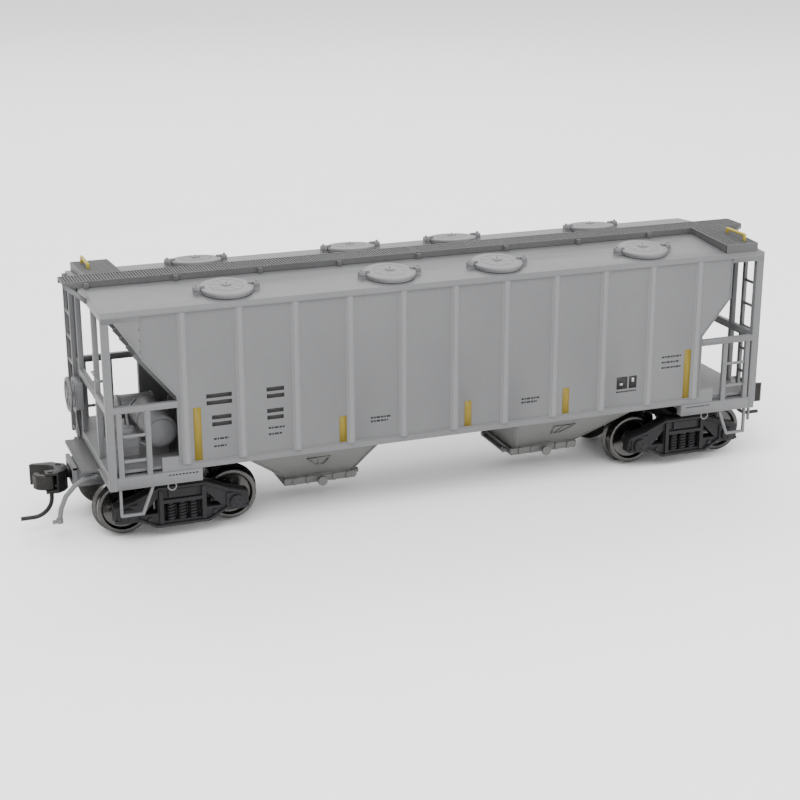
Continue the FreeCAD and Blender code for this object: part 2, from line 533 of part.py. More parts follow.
# ---------------------------------------------------------------- couplers
head_form = [("0", "-shank_half"), ("h_u1", "-h_v1"), ("h_u2", "-h_v2"), ("h_u3", "-h_v3"), ("h_u4", "-h_v4"),
             ("h_u5", "-h_v5"), ("h_u6", "-h_v6"), ("h_u6", "h_v7"), ("h_u7", "h_v7"), ("h_u8", "h_v7"),
             ("h_u9", "h_v8"), ("h_u10", "h_v9"), ("h_u11", "h_v10"), ("0", "shank_half")]
knuckle_form = [("k_u1", "k_v1"), ("k_u1", "k_v2"), ("k_u2", "k_v3"), ("k_u3", "k_v3"), ("k_u4", "k_v4"),
                ("k_u5", "k_v5"), ("k_u6", "k_v6"), ("k_u7", "-k_v7"), ("k_u8", "k_v8"), ("k_u8", "k_v9"),
                ("k_u9", "k_v10"), ("pin_u", "k_v5"), ("k_u2", "k_v1")]
HALF_TURN = FreeCAD.Rotation(FreeCAD.Vector(0, 0, 1), 180)
lids = []
for end, sx in ENDS.items():
    hx = "head_x" if sx > 0 else "-head_x"
    turn = FreeCAD.Rotation() if sx > 0 else HALF_TURN
    head = pad("XY_Plane", [head_form], "head_top - head_low")
    head.Placement = FreeCAD.Placement(FreeCAD.Vector(), turn)
    put(head, hx, "0", "head_low")
    mouth = box(("head_x + jaw_u", "head_x + jaw_far"), ("-jaw_v", "jaw_far"), ("jaw_low", "jaw_top"), sx, sx)
    solid = fuse([cut(head, mouth),
                  box(("peg_x", "head_x"), ("-shank_half", "shank_half"), ("shank_low", "shank_top"), sx),
                  rod("z", ("shank_low", "shank_top"), "peg_x", "0", "eye_r", sx)])
    gaps = fuse([rod("z", ("shank_low - 1", "shank_top + 1"), "peg_x", "0", "eye_hole", sx),
                 rod("z", ("head_low - 1", "jaw_low + 0.5"), "head_x + pin_u", "pin_v", "trip_hole", sx, sx)])
    node(f"coupler_{end}", cut(solid, gaps))
    knuckle = pad("XY_Plane", [knuckle_form], "jaw_top - jaw_low - 2 * k_gap")
    knuckle.Placement = FreeCAD.Placement(FreeCAD.Vector(), turn)
    put(knuckle, hx, "0", "jaw_low + k_gap")
    node(f"knuckle_{end}", knuckle)
    px = "head_x + pin_u"
    bend = doc.addObject("Part::Torus", "bend")
    bend.setExpression("Radius1", E("trip_bend"))
    bend.setExpression("Radius2", E("trip_r"))
    bend.Angle1 = -180
    bend.Angle2 = 180
    bend.Angle3 = 90
    tilt = FreeCAD.Rotation(FreeCAD.Vector(1, 0, 0), 90)
    start = 180 if sx > 0 else 270
    bend.Placement = FreeCAD.Placement(
        FreeCAD.Vector(), tilt.multiply(FreeCAD.Rotation(FreeCAD.Vector(0, 0, 1), start)))
    put(bend, f"{px} + trip_bend" if sx > 0 else f"-({px} + trip_bend)", "pin_v" if sx > 0 else "-pin_v",
        "trip_low + trip_bend")
    node(f"trip_pin_{end}", fuse([
        rod("z", ("trip_low + trip_bend", "jaw_low + k_gap"), px, "pin_v", "trip_r", sx, sx), bend,
        rod("x", (f"{px} + trip_bend", "trip_end"), "pin_v", "trip_low", "trip_r", sx, sx)]))
    lid = box(("box_x1", "box_x2"), ("-box_half", "box_half"), ("lid_low", "box_low"), sx)
    lids.append(cut(lid, rod("z", ("lid_low - 1", "box_low + 1"), "lid_screw_x", "0", "screw_r", sx)))
    node(f"step_board_{end}", box(("post_x2", "step_board_x"), ("-step_board_half", "step_board_half"),
                                  ("step_board_low", "step_board_top"), sx))

node("draft_box_lids", group(lids))

# ---------------------------------------------------------------- screws, levers, hoses
screws = []
levers = []
hoses = []
hose_run = [("post_x2", "hose_z0"), ("hose_x1", "hose_z1"), ("hose_x2", "hose_z2"), ("hose_x3", "hose_z3"),
            ("hose_x4", "hose_z4"), ("hose_x5", "hose_z5")]


def hose_piece(start, end, sx):
    """Round length of hose between two stations, rounded where the next one joins."""
    dx = f"({end[0]} - {start[0]})"
    dz = f"({end[1]} - {start[1]})"
    piece = doc.addObject("Part::Cylinder", "hose")
    piece.setExpression("Radius", E("hose_r"))
    piece.setExpression("Height", E(f"sqrt({dx} * {dx} + {dz} * {dz})"))
    lean = math.degrees(math.atan2(sheet_value(dx), sheet_value(dz)))
    piece.Placement = FreeCAD.Placement(FreeCAD.Vector(),
                                        FreeCAD.Rotation(FreeCAD.Vector(0, 1, 0), lean * sx))
    put(piece, start[0] if sx > 0 else f"-{start[0]}", "hose_y" if sx > 0 else "-hose_y", start[1])
    return [piece, ball(end[0], "hose_y", end[1], "hose_r", sx, sx)]


for sx in (1, -1):
    screws.append(fuse([
        rod("z", ("lid_low", "box_low + screw_deep - 0.5"), "lid_screw_x", "0", "screw_r", sx),
        rod("z", ("lid_low - head_t", "lid_low"), "lid_screw_x", "0", "head_r", sx)]))
    screws.append(fuse([
        rod("z", ("t_low - 0.1", "truck_screw_top"), "truck_x", "0", "truck_screw_r", sx),
        rod("z", ("t_low - 0.1 - head_t", "t_low - 0.1"), "truck_x", "0", "truck_head_r", sx)]))
    eye = ("rod_eye_y - rod_eye_half", "rod_eye_y + rod_eye_half")
    levers.append(fuse([
        rod("y", ("rod_y1", "rod_y2"), "rod_x", "rod_z", "wire_r", sx, -sx),
        rod("z", ("rod_low", "rod_z"), "rod_x", "rod_y2", "wire_r", sx, -sx),
        ball("rod_x", "rod_y2", "rod_z", "wire_r", sx, -sx),
        box(("post_x2", "rod_x + wire_r"), eye, ("rod_eye_low", "rod_eye_top"), sx, -sx)]))
    hose = [rod("z", ("hose_z0", "step_board_low"), "post_x2 + hose_r", "hose_y", "wire_r", sx, sx)]
    for start, end in zip(hose_run, hose_run[1:]):
        hose += hose_piece(start, end, sx)
    hoses.append(fuse(hose))
node("mounting_screws", group(screws))
node("uncoupling_levers", group(levers))
node("air_hoses", group(hoses))

# ---------------------------------------------------------------- brake gear, brake end
house = ("house_y1", "house_y2")
node("brake_housing", box(("post_x2", "house_x"), house, ("house_z1", "house_z2"), -1))
ring = doc.addObject("Part::Torus", "rim")
ring.setExpression("Radius1", E("bw_r"))
ring.setExpression("Radius2", E("bw_rim"))
ring.Placement = FreeCAD.Placement(FreeCAD.Vector(), TURN["x"])
put(ring, "-bw_x", "bw_y", "bw_z")
node("brake_wheel", fuse([
    ring, rod("x", ("house_x", "bw_x + bw_rim"), "bw_y", "bw_z", "bw_hub", -1),
    rod("y", ("bw_y - bw_r", "bw_y + bw_r"), "bw_x", "bw_z", "bw_spoke", -1),
    rod("z", ("bw_z - bw_r", "bw_z + bw_r"), "bw_x", "bw_y", "bw_spoke", -1)]))
tank = [rod("y", ("res_y1", "res_y2"), "res_x", "res_z", "res_r", -1)]
for span in (("res_y1 - res_dome", "res_y1"), ("res_y2", "res_y2 + res_dome")):
    tank.append(rod("y", span, "res_x", "res_z", "res_r - res_dome", -1))
for y in ("res_y1 + 2 * res_foot_w", "res_y2 - 3 * res_foot_w"):
    tank.append(box(("res_x - res_foot", "res_x + res_foot"), (y, f"{y} + res_foot_w"),
                    ("deck_top", "res_z"), -1))
node("air_reservoir", fuse(tank))
node("brake_cylinder", fuse([
    rod("x", ("cyl_x1", "cyl_x2"), "cyl_y", "cyl_z", "cyl_r", -1),
    box(("cyl_x1 + 1", "cyl_x2 - 1"), ("cyl_y - cyl_foot", "cyl_y + cyl_foot"), ("deck_top", "cyl_z"), -1)]))
node("control_valve", fuse([
    box(("valve_x1", "valve_x2"), ("valve_y1", "valve_y2"), ("deck_top", "valve_z"), -1),
    rod("z", ("valve_z", "valve_z + valve_cap"), "(valve_x1 + valve_x2) / 2", "(valve_y1 + valve_y2) / 2",
        "valve_cap_r", -1)]))
node("brake_piping", fuse([
    rod("y", ("valve_y2", "pipe_y2"), "pipe_x", "pipe_z", "pipe_r", -1),
    ball("pipe_x", "pipe_y2", "pipe_z", "pipe_r", -1),
    rod("z", ("pipe_drop", "pipe_z"), "pipe_x", "pipe_y2", "pipe_r", -1),
    rod("x", ("cyl_x2", "pipe_x"), "cyl_y", "pipe_z", "pipe_r", -1)]))

# ---------------------------------------------------------------- checks and export
doc.recompute()
for name, item in NODES.items():
    if any(word in item.State for word in ("Invalid", "Error")):
        raise RuntimeError(f"{name} did not build: {item.State}")
    shape = item.Shape
    if shape.isNull() or not shape.isValid() or not shape.Solids:
        raise RuntimeError(f"{name} has no valid solid")
for item in doc.Objects:
    if any(word in item.State for word in ("Invalid", "Error")):
        raise RuntimeError(f"{item.Name} did not build: {item.State}")
for name, item in NODES.items():
    item.Shape.exportStep(f"parts/{name}.step")
    size = item.Shape.BoundBox
    print(name, len(item.Shape.Solids), f"{size.XMin:.2f} {size.XMax:.2f}", f"{size.YMin:.2f} {size.YMax:.2f}",
          f"{size.ZMin:.2f} {size.ZMax:.2f}", f"{item.Shape.Volume:.1f}")
print(len(NODES), "nodes")
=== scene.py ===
import json
import math

import bmesh
import bpy
from mathutils import Matrix, Vector


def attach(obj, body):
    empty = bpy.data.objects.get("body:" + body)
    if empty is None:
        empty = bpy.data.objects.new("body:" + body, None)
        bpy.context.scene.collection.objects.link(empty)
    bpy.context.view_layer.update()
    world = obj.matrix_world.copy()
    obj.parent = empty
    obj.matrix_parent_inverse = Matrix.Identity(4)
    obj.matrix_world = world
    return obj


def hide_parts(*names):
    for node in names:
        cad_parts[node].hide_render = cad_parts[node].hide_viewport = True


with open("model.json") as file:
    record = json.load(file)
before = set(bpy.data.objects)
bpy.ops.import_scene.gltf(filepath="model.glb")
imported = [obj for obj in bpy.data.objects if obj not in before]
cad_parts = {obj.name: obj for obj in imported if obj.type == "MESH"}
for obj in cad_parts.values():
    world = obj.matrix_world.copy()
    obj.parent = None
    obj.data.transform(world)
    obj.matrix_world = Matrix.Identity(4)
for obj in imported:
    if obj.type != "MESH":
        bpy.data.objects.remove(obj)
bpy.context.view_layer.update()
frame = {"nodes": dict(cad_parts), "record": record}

MM = 0.001
RAIL = 0.65                 # rail top above the lowest point of the wheel flanges
ENDS = {"a": 1, "b": -1}    # plain end at +X, brake end at -X
SIDES = (-1, 1)
QUARTERS = [(sx, sy) for sx in (1, -1) for sy in SIDES]

# main stations of the wagon, in millimetres from its middle and above the rail top
SIDE = 17.0
SILL_FACE = 17.28
END_FACE = 66.3
ROOF_RIDGE = 45.35
ROOF_FALL = 1.42 / 16.6
RIB_PITCH = 10.4
TRUCK_X = 52.5
AXLE_OFFSET = 10.2
AXLE_Z = 4.85


# ------------------------------------------------------------------ materials
FINE_SHARE = 0.35           # share of the tone that comes from the fine grain
BROAD_SHARE = 0.65          # and from the broad patches
RAMP_ENDS = (0.32, 0.72)    # noise that gives the darkest and the lightest tone
STREAK_SCALE = (420.0, 420.0, 14.0)


def add_node(mat, kind, operation=None, **inputs):
    """New shader node with inputs set by name (underscores for spaces) or by number (as_1)."""
    node = mat.node_tree.nodes.new(kind)
    if operation:
        node.operation = operation
    for key, value in inputs.items():
        socket = int(key[3:]) if key.startswith("as_") else key.replace("_", " ")
        node.inputs[socket].default_value = value
    return node


def shade(name, low, high, rough=(0.42, 0.55), grain=1400.0, patch=45.0, bump=0.25, metallic=0.0,
          streak=0.0, specular=0.28):
    """Painted, moulded or metal finish: patchy tone, fine grain in colour, roughness and relief."""
    mat = bpy.data.materials.new(name)
    mat.use_nodes = True
    mat.node_tree.nodes.clear()
    link = mat.node_tree.links.new
    out = add_node(mat, "ShaderNodeOutputMaterial")
    bsdf = add_node(mat, "ShaderNodeBsdfPrincipled", Metallic=metallic, Specular_IOR_Level=specular)
    link(bsdf.outputs["BSDF"], out.inputs["Surface"])
    place = add_node(mat, "ShaderNodeTexCoord")
    broad = add_node(mat, "ShaderNodeTexNoise", Scale=patch, Detail=4.0)
    fine = add_node(mat, "ShaderNodeTexNoise", Scale=grain, Detail=5.0)
    for noise in (broad, fine):
        link(place.outputs["Object"], noise.inputs["Vector"])
    weigh = add_node(mat, "ShaderNodeMath", "MULTIPLY", as_1=BROAD_SHARE)
    link(broad.outputs["Fac"], weigh.inputs[0])
    blend = add_node(mat, "ShaderNodeMath", "MULTIPLY_ADD", as_1=FINE_SHARE)
    link(fine.outputs["Fac"], blend.inputs[0])
    link(weigh.outputs[0], blend.inputs[2])
    source = blend.outputs[0]
    if streak:
        stretch = add_node(mat, "ShaderNodeMapping", Scale=STREAK_SCALE)
        runs = add_node(mat, "ShaderNodeTexNoise", Scale=1.0, Detail=3.0)
        link(place.outputs["Object"], stretch.inputs["Vector"])
        link(stretch.outputs["Vector"], runs.inputs["Vector"])
        more = add_node(mat, "ShaderNodeMath", "MULTIPLY_ADD", as_1=streak)
        link(runs.outputs["Fac"], more.inputs[0])
        link(source, more.inputs[2])
        source = more.outputs[0]
    ramp = add_node(mat, "ShaderNodeValToRGB")
    for stop, position, tone in zip(ramp.color_ramp.elements, RAMP_ENDS, (low, high)):
        stop.position = position
        stop.color = (*tone, 1)
    link(source, ramp.inputs["Fac"])
    link(ramp.outputs["Color"], bsdf.inputs["Base Color"])
    gloss = add_node(mat, "ShaderNodeMapRange", To_Min=rough[0], To_Max=rough[1])
    link(fine.outputs["Fac"], gloss.inputs["Value"])
    link(gloss.outputs["Result"], bsdf.inputs["Roughness"])
    relief = add_node(mat, "ShaderNodeBump", Strength=bump, Distance=0.00003)
    link(fine.outputs["Fac"], relief.inputs["Height"])
    link(relief.outputs["Normal"], bsdf.inputs["Normal"])
    return mat


def turned(name, low, high, rough):
    """Machined metal: fine rings round the axle line and a slightly uneven polish."""
    mat = shade(name, low, high, rough, grain=2600.0, patch=120.0, bump=0.15, metallic=1.0)
    link = mat.node_tree.links.new
    place, relief, bsdf = (next(n for n in mat.node_tree.nodes if n.type == kind)
                           for kind in ("TEX_COORD", "BUMP", "BSDF_PRINCIPLED"))
    wave = add_node(mat, "ShaderNodeTexWave", Scale=900.0, Distortion=1.5)
    wave.wave_type = "RINGS"
    wave.rings_direction = "Y"
    link(place.outputs["Object"], wave.inputs["Vector"])
    second = add_node(mat, "ShaderNodeBump", Strength=0.08, Distance=0.00002)
    link(wave.outputs["Fac"], second.inputs["Height"])
    link(relief.outputs["Normal"], second.inputs["Normal"])
    link(second.outputs["Normal"], bsdf.inputs["Normal"])
    return mat


# darkest tone, lightest tone, roughness from and to, and whatever differs from plain paint
PAINTS = {
    "body_grey": ((0.100, 0.101, 0.104), (0.118, 0.119, 0.122), (0.40, 0.52), {"streak": 0.10}),
    "roof_grey": ((0.128, 0.128, 0.133), (0.146, 0.146, 0.151), (0.42, 0.55), {}),
    "bay_grey": ((0.090, 0.092, 0.088), (0.110, 0.112, 0.108), (0.45, 0.58), {"streak": 0.1}),
    "walkway_grey": ((0.056, 0.056, 0.057), (0.084, 0.084, 0.085), (0.45, 0.62), {}),
    "truck_black": ((0.004, 0.004, 0.0045), (0.011, 0.011, 0.0125), (0.38, 0.54),
                    {"grain": 2200.0, "bump": 0.45, "specular": 0.25}),
    "coupler_metal": ((0.008, 0.008, 0.008), (0.026, 0.0245, 0.023), (0.32, 0.50),
                      {"grain": 1800.0, "bump": 0.5, "metallic": 0.5}),
    "grab_yellow": ((0.26, 0.20, 0.018), (0.34, 0.27, 0.036), (0.38, 0.50), {}),
    "stripe_yellow": ((0.125, 0.088, 0.006), (0.160, 0.118, 0.010), (0.42, 0.55), {}),
    "weight_steel": ((0.05, 0.05, 0.052), (0.10, 0.10, 0.102), (0.35, 0.55), {"metallic": 0.9}),
    "ink_black": ((0.004, 0.004, 0.004), (0.009, 0.009, 0.010), (0.42, 0.55), {"grain": 2600.0}),
    "label_white": ((0.28, 0.28, 0.284), (0.36, 0.36, 0.36), (0.42, 0.55), {"grain": 2600.0}),
    "hose_grey": ((0.10, 0.10, 0.098), (0.15, 0.15, 0.145), (0.45, 0.6), {"bump": 0.4}),
    # lighter copy of body_grey for the rib faces: painted highlight
    "rib_painted_highlight": ((0.128, 0.129, 0.133), (0.146, 0.147, 0.151), (0.40, 0.52), {"streak": 0.10}),
}
METALS = {
    "wheel_metal": ((0.045, 0.044, 0.043), (0.115, 0.112, 0.108), (0.18, 0.32)),
    "axle_steel": ((0.08, 0.077, 0.074), (0.15, 0.145, 0.14), (0.28, 0.42)),
    "screw_steel": ((0.12, 0.12, 0.12), (0.20, 0.20, 0.20), (0.25, 0.40)),
}
MATS = {name: shade(name, *look, **extra) for name, (*look, extra) in PAINTS.items()}
MATS.update({name: turned(name, *look) for name, look in METALS.items()})


def soften(obj, width, angle):
    """Smooth shading, with the edges sharper than an angle rounded by a width in millimetres."""
    if width:
        bevel = obj.modifiers.new("soften", "BEVEL")
        bevel.width = width * MM
        bevel.segments = 2
        bevel.limit_method = "ANGLE"
        bevel.angle_limit = math.radians(angle)
        bevel.harden_normals = True
    for face in obj.data.polygons:
        face.use_smooth = True


# ------------------------------------------------------------------ carried-over CAD nodes
node_slots = {entry["node"]: entry["material_slot"] for entry in frame["record"]["subparts"]}
BEVELS = {"body_shell": 0.28, "underframe": 0.10, "hatch_cover": 0.10, "wheels": 0.06,
          "coupler": 0.22, "knuckle": 0.22, "sideframe": 0.14, "outlet_gate": 0.12,
          "brake_housing": 0.25, "brake_wheel": 0.04, "control_valve": 0.3, "step_board": 0.06,
          "hopper_bay": 0.12, "air_reservoir": 0.15}
OTHER_BEVEL = 0.08
for name, obj in frame["nodes"].items():
    obj.data.materials.clear()
    obj.data.materials.append(MATS[node_slots[name]])
    weld = obj.modifiers.new("weld", "WELD")
    weld.merge_threshold = 0.000002
    soften(obj, next((w for key, w in BEVELS.items() if name.startswith(key)), OTHER_BEVEL), 35)


# ------------------------------------------------------------------ mesh building
def circle(steps):
    """Angles of evenly spaced points round a circle."""
    return [2 * math.pi * i / steps for i in range(steps)]


def outward(side, face, length):
    """Where a disc of a given length starts so that it stands out from a face on either side."""
    return side * face - (length if side < 0 else 0)


class Shape:
    """Collects blocks, bars and bent wires in millimetres, heights above the rail top."""

    DISC_AXES = {"x": ((0, 1, 0), (0, 0, 1), (1, 0, 0)), "y": ((0, 0, 1), (1, 0, 0), (0, 1, 0)),
                 "z": ((1, 0, 0), (0, 1, 0), (0, 0, 1))}
    RING_AXES = {"x": ((0, 1, 0), (0, 0, 1)), "y": ((1, 0, 0), (0, 0, 1)), "z": ((1, 0, 0), (0, 1, 0))}

    def __init__(self):
        self.bm = bmesh.new()

    def at(self, x, y, z):
        return Vector((x * MM, y * MM, (z + RAIL) * MM))

    def band(self, first, second):
        """Faces that join two matching loops of vertices."""
        for i in range(len(first)):
            j = (i + 1) % len(first)
            self.bm.faces.new((first[i], first[j], second[j], second[i]))

    def hull(self, bottom, top):
        """Solid between two matching loops of points."""
        low = [self.bm.verts.new(self.at(*p)) for p in bottom]
        high = [self.bm.verts.new(self.at(*p)) for p in top]
        self.bm.faces.new(low[::-1])
        self.bm.faces.new(high)
        self.band(low, high)

    def box(self, x, y, z, taper=0.0):
        """Block between two stations on each axis; taper narrows its upper face."""
        x0, x1 = sorted(x)
        y0, y1 = sorted(y)
        z0, z1 = sorted(z)
        t = taper
        self.hull([(x0, y0, z0), (x1, y0, z0), (x1, y1, z0), (x0, y1, z0)],
                  [(x0 + t, y0 + t, z1), (x1 - t, y0 + t, z1), (x1 - t, y1 - t, z1),
                   (x0 + t, y1 - t, z1)])

    def slab(self, outline, y):
        """Outline in X and Z pushed across Y."""
        self.hull([(u, y[0], v) for u, v in outline], [(u, y[1], v) for u, v in outline])

    def disc(self, axis, centre, radius, length, sides=24, dome=None):
        """Round bar from a centre point along an axis; dome gives it a rounded end."""
        rings = [(0.0, radius), (length, radius)]
        if dome is not None:
            rings.append((length + dome, 0.35 * radius))
        u, v, w = (Vector(a) for a in self.DISC_AXES[axis])
        base = Vector(centre)
        loops = [[self.bm.verts.new(self.at(*(base + w * offset + (u * math.cos(a) + v * math.sin(a)) * r)))
                  for a in circle(sides)] for offset, r in rings]
        for first, second in zip(loops, loops[1:]):
            self.band(first, second)
        self.bm.faces.new(loops[0][::-1])
        self.bm.faces.new(loops[-1])

    def wire(self, points, radius, sides=8, closed=False):
        """Round wire through a run of points."""
        spots = [Vector(p) for p in points]
        count = len(spots)
        loops = []
        normal = None
        for i, p in enumerate(spots):
            before = spots[(i - 1) % count] if (closed or i > 0) else p
            after = spots[(i + 1) % count] if (closed or i < count - 1) else p
            along = (after - before).normalized()
            if normal is None:
                helper = Vector((0, 0, 1)) if abs(along.z) < 0.9 else Vector((1, 0, 0))
                normal = along.cross(helper).normalized()
            else:
                normal = (normal - along * normal.dot(along)).normalized()
            side = along.cross(normal)
            around = [p + (normal * math.cos(a) + side * math.sin(a)) * radius for a in circle(sides)]
            loops.append([self.bm.verts.new(self.at(*point)) for point in around])
        pairs = list(zip(loops, loops[1:]))
        if closed:
            pairs.append((loops[-1], loops[0]))
        for first, second in pairs:
            self.band(first, second)
        if not closed:
            self.bm.faces.new(loops[0][::-1])
            self.bm.faces.new(loops[-1])

    def ring(self, axis, centre, radius, thick, steps=40):
        """Closed round wire about an axis."""
        u, v = (Vector(a) for a in self.RING_AXES[axis])
        spots = [Vector(centre) + (u * math.cos(a) + v * math.sin(a)) * radius for a in circle(steps)]
        self.wire(spots, thick, closed=True)

    def coil(self, x, y, low, high, radius, thick, turns):
        """Spring standing upright between two heights."""
        steps = int(turns * 14)
        spots = [(x + radius * math.cos(a), y + radius * math.sin(a), low + (high - low) * i / steps)
                 for i, a in ((i, 2 * math.pi * turns * i / steps) for i in range(steps + 1))]
        self.wire(spots, thick, 6)

    def make(self, name, mat, body, slot_name, stands_for=(), bevel=0.05):
        """Turns what was collected into one object that rides on a body."""
        bmesh.ops.recalc_face_normals(self.bm, faces=self.bm.faces)
        mesh = bpy.data.meshes.new(name)
        self.bm.to_mesh(mesh)
        self.bm.free()
        obj = bpy.data.objects.new(name, mesh)
        bpy.context.collection.objects.link(obj)
        mesh.materials.append(MATS[mat])
        soften(obj, bevel, 40)
        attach(obj, body)
        if stands_for:
            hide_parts(*stands_for)
        return obj


def roof_z(y):
    """Height of the sloping roof above the rail."""
    return ROOF_RIDGE - ROOF_FALL * abs(y)


# ------------------------------------------------------------------ running boards as gratings
WALK_JOINT = -1.9
WALK_END = 70.0
WALK_TOP = 46.35
WALK_HALF = 2.7
WALK_RIM = 0.22
GRATE_LOW = 45.95
BAR_PITCH = 0.55
PLATFORM_X = (58.2, 65.3)
PLATFORM_EDGE = 16.4
PLATFORM_SLATS = 26


def platform_z(y):
    """Upper face of a corner platform, which falls a little towards the roof edge."""
    return WALK_TOP - 0.75 * (abs(y) - 2.6) / 13.9


for end, sx in ENDS.items():
    x0, x1 = (WALK_JOINT + 0.1, WALK_END) if sx > 0 else (-WALK_END, WALK_JOINT - 0.1)
    grate = Shape()
    for sy in SIDES:
        grate.box((x0, x1), (sy * (WALK_HALF - WALK_RIM), sy * WALK_HALF), (45.2, WALK_TOP))
        grate.box((x0, x1), (sy * 2.2, sy * (WALK_HALF - WALK_RIM)), (45.5, 45.62))
    for y in (-1.65, -0.83, 0.0, 0.83, 1.65):
        grate.box((x0, x1), (y - 0.09, y + 0.09), (GRATE_LOW, WALK_TOP - 0.05))
    for x in (x0 + 0.12, x1 - 0.12):
        grate.box((x - 0.12, x + 0.12), (-WALK_HALF + 0.2, WALK_HALF - 0.2), (GRATE_LOW, WALK_TOP))
    # thin plate under the bars, so that little of the roof shows through them
    grate.box((x0 + 0.1, x1 - 0.1), (-WALK_HALF + 0.2, WALK_HALF - 0.2), (45.96, 46.06))
    count = int((x1 - x0) / BAR_PITCH)
    for i in range(1, count):
        x = x0 + (x1 - x0) * i / count
        grate.box((x - 0.1, x + 0.1), (-WALK_HALF + 0.1, WALK_HALF - 0.1), (46.0, WALK_TOP - 0.01))
    # platform out to the roof edge at the ladder corner: its rims, plate, slats and bearers
    sy = -sx
    xa, xb = sorted((sx * PLATFORM_X[0], sx * PLATFORM_X[1]))
    for x in (xa, xb):
        inner = x + (0.25 if x == xa else -0.25)
        low, high = sorted((x, inner))
        feet = ((WALK_HALF, 45.2), (PLATFORM_EDGE, 44.03))
        tops = [(y, platform_z(y)) for y, _ in feet]
        grate.hull(*[[(low, sy * y0, z0), (high, sy * y0, z0), (high, sy * y1, z1), (low, sy * y1, z1)]
                     for (y0, z0), (y1, z1) in (feet, tops)])
    grate.box((xa, xb), (sy * 16.2, sy * 16.5), (roof_z(16.5), platform_z(16.5)))
    grate.hull(*[[(x, sy * y, platform_z(y) - drop) for x, y in
                  ((xa + 0.1, 2.8), (xb - 0.1, 2.8), (xb - 0.1, 16.2), (xa + 0.1, 16.2))]
                 for drop in (0.40, 0.30)])
    for i in range(PLATFORM_SLATS):
        y = 3.1 + (16.1 - 3.1) * i / (PLATFORM_SLATS - 1)
        z = platform_z(y)
        grate.box((xa + 0.05, xb - 0.05), (sy * y - 0.11, sy * y + 0.11), (z - 0.36, z - 0.01))
    for part in (0.2, 0.4, 0.6, 0.8):
        x = xa + (xb - xa) * part
        grate.hull(*[[(u, sy * y, platform_z(y) - drop) for u, y in
                      ((x - 0.08, WALK_HALF), (x + 0.08, WALK_HALF), (x + 0.08, 16.3), (x - 0.08, 16.3))]
                     for drop in (0.38, 0.05)])
    grate.make(f"walk_grating_{end}", "walkway_grey", "car_body", "walkway_grey",
               (f"roofwalk_{end}",), bevel=0.03)

# braces from the roof end up to the overhanging walk ends
brace = Shape()
for sx, sy in QUARTERS:
    brace.wire([(sx * 66.25, sy * 4.6, 43.0), (sx * 67.6, sy * 3.6, 44.2), (sx * 69.6, sy * 2.4, 45.6)],
               0.4, 6)
brace.make("walk_braces", "body_grey", "car_body", "body_grey", bevel=0)

# ------------------------------------------------------------------ hatch fittings
HATCH_X = (10.9, 42.2)
HATCH_Y = 11.2
HATCH_SEAT = 44.95
LEAN = math.atan(ROOF_FALL)
hatch = Shape()


def on_hatch(cx, sy, u, v, w):
    """Point on a hatch tilted with the roof: u along the wagon, v outward, w up from the seat."""
    out = HATCH_Y + v * math.cos(LEAN) + w * math.sin(LEAN)
    return (cx + u, sy * out, HATCH_SEAT - v * math.sin(LEAN) + w * math.cos(LEAN))


def hatch_ring(cx, sy, radius, w, thick):
    hatch.wire([on_hatch(cx, sy, radius * math.cos(a), radius * math.sin(a), w) for a in circle(48)],
               thick, closed=True)


for sx, sy in QUARTERS:
    for x in HATCH_X:
        cx = sx * x
        # rim, raised ring on the cover and coaming at its seat, then ribs, lift ring and clamps
        hatch_ring(cx, sy, 4.72, 0.34, 0.17)
        hatch_ring(cx, sy, 3.1, 0.64, 0.07)
        hatch_ring(cx, sy, 4.60, -0.20, 0.24)
        for k in range(8):
            a = math.pi * (k + 0.5) / 4
            hatch.wire([on_hatch(cx, sy, r * math.cos(a), r * math.sin(a), w)
                        for r, w in ((1.0, 0.72), (2.6, 0.66), (4.2, 0.50))], 0.07, 6)
        hatch.ring("x", on_hatch(cx, sy, 0, 0, 1.02), 0.24, 0.07, 16)
        y = sy * HATCH_Y
        for side in SIDES:
            lug = cx + side * 5.5
            hatch.box((lug - 0.45, lug + 0.45), (y - 0.42, y + 0.42), (45.7, 45.84))
            hatch.disc("z", (lug + side * 0.1, y, 45.8), 0.24, 0.28, 10, dome=0.08)
            hatch.box((cx + side * 4.0, cx + side * 5.2), (y - 0.2, y + 0.2), (45.5, 45.86))
            hatch.disc("y", (lug + side * 0.35, y - 0.75, 45.35), 0.18, 1.5, 10)
hatch.make("hatch_fittings", "roof_grey", "car_body", "roof_grey", bevel=0.03)

# ------------------------------------------------------------------ side markings, stripes and blocks
marks = {"stripe_yellow": Shape(), "ink_black": Shape(), "label_white": Shape()}


def patch(kind, x0, x1, z0, z1, sy, lift=0.02):
    """Thin painted block on a side sheet."""
    marks[kind].box((x0, x1), (sy * SIDE, sy * (SIDE + lift)), (z0, z1))


for sy in SIDES:
    for x, top in ((-49.9, 25.1), (-22.4, 20.1), (2.8, 20.1), (23.5, 20.3), (50.3, 25.2)):
        patch("stripe_yellow", -sy * x - 0.72, -sy * x + 0.72, 14.8, top, sy)


def dashes(x0, x1, z, height, lengths, gap, sy):
    """A row of plain dashes standing in for a line of small print."""
    x = x0
    k = 0
    while x < x1 - 0.1:
        step = min(lengths[k % len(lengths)], x1 - x)
        patch("ink_black", x, x + step, z, z + height, sy)
        x += step + gap
        k += 1


def seen(sy, a, b):
    """Stations read along the near side, turned round for the far side."""
    return sorted((-sy * a, -sy * b))


